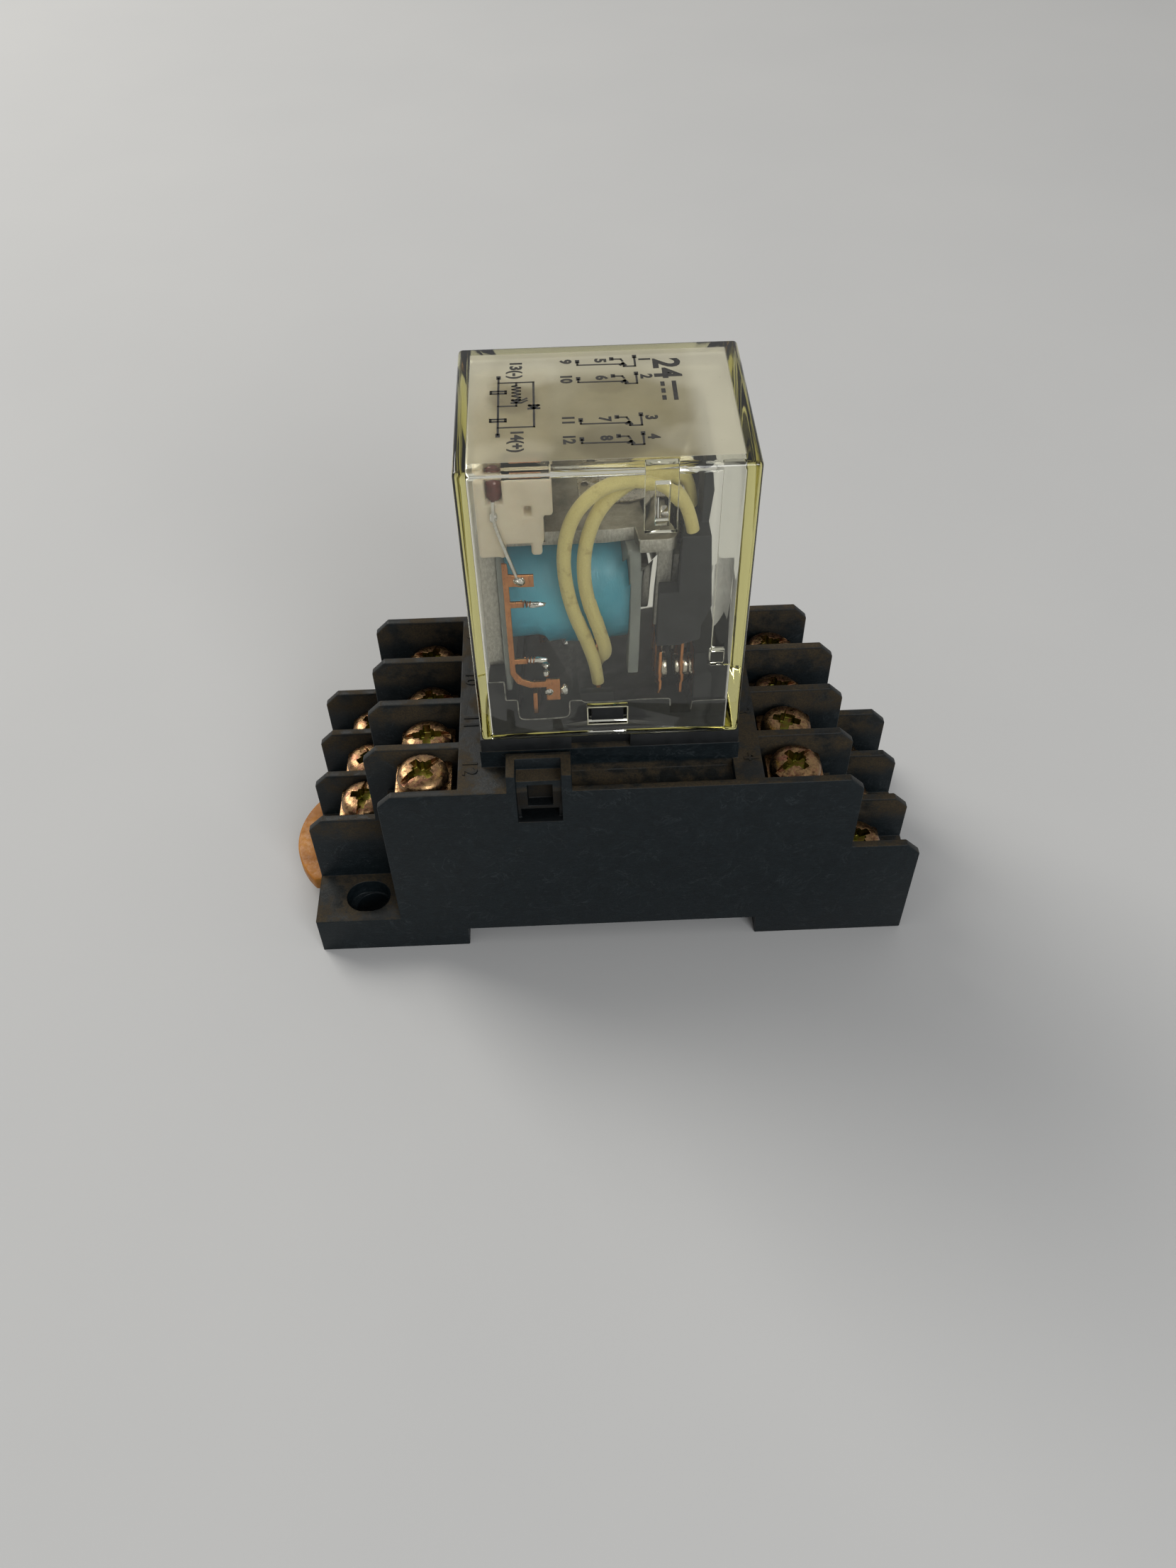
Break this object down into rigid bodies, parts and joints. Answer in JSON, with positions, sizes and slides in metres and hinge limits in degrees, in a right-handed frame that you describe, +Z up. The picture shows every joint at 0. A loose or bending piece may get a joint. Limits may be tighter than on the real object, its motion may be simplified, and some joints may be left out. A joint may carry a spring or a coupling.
{
  "type": "plug-in relay on a rail socket",
  "caption": "Plug-in relay in a clear yellowed cover, seated in a black screw-terminal socket that clips to a 35 mm rail.",
  "frame": {"origin": "on the rail's centreline at mid-width, level with the socket's feet", "axes": "+X along the socket and across the rail, +Y along the rail, +Z up away from the rail"},
  "size_m": [0.076, 0.0296, 0.0664],
  "materials": {
    "socket_plastic": "matte glass-filled black",
    "latch_plastic": "satin orange",
    "contact_copper": "rolled copper alloy",
    "terminal_plating": "tinned strip",
    "screw_zinc": "yellow passivated zinc",
    "base_plastic": "charcoal",
    "clear_cover": "clear, yellowed with age",
    "contact_silver": "silver alloy",
    "yoke_steel": "plated soft iron",
    "bobbin_plastic": "light grey",
    "winding_copper": "enamelled wire",
    "coil_tape_blue": "turquoise tape",
    "carrier_plastic": "dark grey",
    "holder_plastic": "cream",
    "led_resin": "tinted red",
    "diode_glass": "amber",
    "tinned_wire": "tinned",
    "wire_insulation": "pale yellow"
  },
  "bodies": {
    "socket": {"socket_housing": "socket_plastic", "socket_bottom_cover": "socket_plastic", "contact_strips_upper": "terminal_plating", "contact_strips_lower": "terminal_plating"},
    "relay": {"relay_base": "base_plastic", "dust_cover": "clear_cover", "nc_terminals": "contact_copper", "no_terminals": "contact_copper", "com_terminals": "contact_copper", "coil_terminals": "contact_copper", "fixed_contacts": "contact_silver", "yoke": "yoke_steel", "core": "yoke_steel", "bobbin": "bobbin_plastic", "coil_winding": "winding_copper", "coil_tape": "coil_tape_blue", "indicator_holder": "holder_plastic", "led": "led_resin", "diode": "diode_glass", "component_leads": "tinned_wire", "link_strips": "contact_copper", "return_spring": "contact_silver", "lead_wire_front_outer": "wire_insulation", "lead_wire_front_inner": "wire_insulation", "lead_wire_back_outer": "wire_insulation", "lead_wire_back_inner": "wire_insulation"},
    "armature": {"armature": "yoke_steel", "contact_carrier": "carrier_plastic", "moving_springs": "contact_copper", "moving_contacts": "contact_silver"},
    "rail_latch": {"rail_latch": "latch_plastic", "rail_latch_spring": "latch_plastic"},
    "washer_01": {"terminal_washer_01": "screw_zinc"},
    "screw_01": {"terminal_screw_01": "screw_zinc"},
    "washer_02": {"terminal_washer_02": "screw_zinc"},
    "screw_02": {"terminal_screw_02": "screw_zinc"},
    "washer_03": {"terminal_washer_03": "screw_zinc"},
    "screw_03": {"terminal_screw_03": "screw_zinc"},
    "washer_04": {"terminal_washer_04": "screw_zinc"},
    "screw_04": {"terminal_screw_04": "screw_zinc"},
    "washer_05": {"terminal_washer_05": "screw_zinc"},
    "screw_05": {"terminal_screw_05": "screw_zinc"},
    "washer_06": {"terminal_washer_06": "screw_zinc"},
    "screw_06": {"terminal_screw_06": "screw_zinc"},
    "washer_07": {"terminal_washer_07": "screw_zinc"},
    "screw_07": {"terminal_screw_07": "screw_zinc"},
    "washer_08": {"terminal_washer_08": "screw_zinc"},
    "screw_08": {"terminal_screw_08": "screw_zinc"},
    "washer_09": {"terminal_washer_09": "screw_zinc"},
    "screw_09": {"terminal_screw_09": "screw_zinc"},
    "washer_10": {"terminal_washer_10": "screw_zinc"},
    "screw_10": {"terminal_screw_10": "screw_zinc"},
    "washer_11": {"terminal_washer_11": "screw_zinc"},
    "screw_11": {"terminal_screw_11": "screw_zinc"},
    "washer_12": {"terminal_washer_12": "screw_zinc"},
    "screw_12": {"terminal_screw_12": "screw_zinc"},
    "washer_13": {"terminal_washer_13": "screw_zinc"},
    "screw_13": {"terminal_screw_13": "screw_zinc"},
    "washer_14": {"terminal_washer_14": "screw_zinc"},
    "screw_14": {"terminal_screw_14": "screw_zinc"}
  },
  "joints": [
    {"name": "relay_unplug", "type": "slide", "parent": "socket", "child": "relay", "axis": [0, 0, 1], "range_m": [0, 0.02]},
    {"name": "armature_pull_in", "type": "hinge", "parent": "relay", "child": "armature", "pos_m": [0.0054, 0, 0.0562], "axis": [0, 1, 0], "range_deg": [0, 2.6], "stiffness_Nm_per_rad": 0.02, "springref_deg": -11.46, "deforming": ["lead_wire_front_outer", "lead_wire_front_inner", "lead_wire_back_outer", "lead_wire_back_inner", "return_spring"]},
    {"name": "rail_latch_pull", "type": "slide", "parent": "socket", "child": "rail_latch", "axis": [-1, 0, 0], "range_m": [0, 0.003], "stiffness_N_per_m": 300, "springref_m": -0.002, "deforming": ["rail_latch_spring"]},
    {"name": "washer_01_lift", "type": "slide", "parent": "socket", "child": "washer_01", "axis": [0, 0, 1], "range_m": [-0.0025, 0.0015]},
    {"name": "screw_01_turn", "type": "hinge", "parent": "washer_01", "child": "screw_01", "pos_m": [0.0208, -0.01071, 0.0222], "axis": [0, 0, 1], "range_deg": [-1801, 1081]},
    {"name": "washer_02_lift", "type": "slide", "parent": "socket", "child": "washer_02", "axis": [0, 0, 1], "range_m": [-0.0016, 0.0024]},
    {"name": "screw_02_turn", "type": "hinge", "parent": "washer_02", "child": "screw_02", "pos_m": [0.0208, -0.00357, 0.0222], "axis": [0, 0, 1], "range_deg": [-1153, 1729]},
    {"name": "washer_03_lift", "type": "slide", "parent": "socket", "child": "washer_03", "axis": [0, 0, 1], "range_m": [0, 0.004]},
    {"name": "screw_03_turn", "type": "hinge", "parent": "washer_03", "child": "screw_03", "pos_m": [0.0208, 0.00357, 0.0222], "axis": [0, 0, 1], "range_deg": [-1, 2881]},
    {"name": "washer_04_lift", "type": "slide", "parent": "socket", "child": "washer_04", "axis": [0, 0, 1], "range_m": [-0.0004, 0.0036]},
    {"name": "screw_04_turn", "type": "hinge", "parent": "washer_04", "child": "screw_04", "pos_m": [0.0208, 0.01071, 0.0222], "axis": [0, 0, 1], "range_deg": [-289, 2593]},
    {"name": "washer_05_lift", "type": "slide", "parent": "socket", "child": "washer_05", "axis": [0, 0, 1], "range_m": [-0.0008, 0.0032]},
    {"name": "screw_05_turn", "type": "hinge", "parent": "washer_05", "child": "screw_05", "pos_m": [0.0295, -0.01071, 0.0101], "axis": [0, 0, 1], "range_deg": [-577, 2305]},
    {"name": "washer_06_lift", "type": "slide", "parent": "socket", "child": "washer_06", "axis": [0, 0, 1], "range_m": [-0.0002, 0.0038]},
    {"name": "screw_06_turn", "type": "hinge", "parent": "washer_06", "child": "screw_06", "pos_m": [0.0295, -0.00357, 0.0101], "axis": [0, 0, 1], "range_deg": [-145, 2737]},
    {"name": "washer_07_lift", "type": "slide", "parent": "socket", "child": "washer_07", "axis": [0, 0, 1], "range_m": [0, 0.004]},
    {"name": "screw_07_turn", "type": "hinge", "parent": "washer_07", "child": "screw_07", "pos_m": [0.0295, 0.00357, 0.0101], "axis": [0, 0, 1], "range_deg": [-1, 2881]},
    {"name": "washer_08_lift", "type": "slide", "parent": "socket", "child": "washer_08", "axis": [0, 0, 1], "range_m": [-0.0034, 0.0006]},
    {"name": "screw_08_turn", "type": "hinge", "parent": "washer_08", "child": "screw_08", "pos_m": [-0.0208, -0.01071, 0.0222], "axis": [0, 0, 1], "range_deg": [-2449, 433]},
    {"name": "washer_09_lift", "type": "slide", "parent": "socket", "child": "washer_09", "axis": [0, 0, 1], "range_m": [-0.0014, 0.0026]},
    {"name": "screw_09_turn", "type": "hinge", "parent": "washer_09", "child": "screw_09", "pos_m": [-0.0208, -0.00357, 0.0222], "axis": [0, 0, 1], "range_deg": [-1009, 1873]},
    {"name": "washer_10_lift", "type": "slide", "parent": "socket", "child": "washer_10", "axis": [0, 0, 1], "range_m": [0, 0.004]},
    {"name": "screw_10_turn", "type": "hinge", "parent": "washer_10", "child": "screw_10", "pos_m": [-0.0208, 0.00357, 0.0222], "axis": [0, 0, 1], "range_deg": [-1, 2881]},
    {"name": "washer_11_lift", "type": "slide", "parent": "socket", "child": "washer_11", "axis": [0, 0, 1], "range_m": [-0.0003, 0.0037]},
    {"name": "screw_11_turn", "type": "hinge", "parent": "washer_11", "child": "screw_11", "pos_m": [-0.0208, 0.01071, 0.0222], "axis": [0, 0, 1], "range_deg": [-217, 2665]},
    {"name": "washer_12_lift", "type": "slide", "parent": "socket", "child": "washer_12", "axis": [0, 0, 1], "range_m": [-0.0035, 0.0005]},
    {"name": "screw_12_turn", "type": "hinge", "parent": "washer_12", "child": "screw_12", "pos_m": [-0.0295, -0.00357, 0.0101], "axis": [0, 0, 1], "range_deg": [-2521, 361]},
    {"name": "washer_13_lift", "type": "slide", "parent": "socket", "child": "washer_13", "axis": [0, 0, 1], "range_m": [-0.0026, 0.0014]},
    {"name": "screw_13_turn", "type": "hinge", "parent": "washer_13", "child": "screw_13", "pos_m": [-0.0295, 0.00357, 0.0101], "axis": [0, 0, 1], "range_deg": [-1873, 1009]},
    {"name": "washer_14_lift", "type": "slide", "parent": "socket", "child": "washer_14", "axis": [0, 0, 1], "range_m": [-0.0015, 0.0025]},
    {"name": "screw_14_turn", "type": "hinge", "parent": "washer_14", "child": "screw_14", "pos_m": [-0.0295, 0.01071, 0.0101], "axis": [0, 0, 1], "range_deg": [-1081, 1801]}
  ],
  "couplings": [
    {"joint": "screw_01_turn", "follows": "washer_01_lift", "rad_per_m": 12566},
    {"joint": "screw_02_turn", "follows": "washer_02_lift", "rad_per_m": 12566},
    {"joint": "screw_03_turn", "follows": "washer_03_lift", "rad_per_m": 12566},
    {"joint": "screw_04_turn", "follows": "washer_04_lift", "rad_per_m": 12566},
    {"joint": "screw_05_turn", "follows": "washer_05_lift", "rad_per_m": 12566},
    {"joint": "screw_06_turn", "follows": "washer_06_lift", "rad_per_m": 12566},
    {"joint": "screw_07_turn", "follows": "washer_07_lift", "rad_per_m": 12566},
    {"joint": "screw_08_turn", "follows": "washer_08_lift", "rad_per_m": 12566},
    {"joint": "screw_09_turn", "follows": "washer_09_lift", "rad_per_m": 12566},
    {"joint": "screw_10_turn", "follows": "washer_10_lift", "rad_per_m": 12566},
    {"joint": "screw_11_turn", "follows": "washer_11_lift", "rad_per_m": 12566},
    {"joint": "screw_12_turn", "follows": "washer_12_lift", "rad_per_m": 12566},
    {"joint": "screw_13_turn", "follows": "washer_13_lift", "rad_per_m": 12566},
    {"joint": "screw_14_turn", "follows": "washer_14_lift", "rad_per_m": 12566}
  ]
}
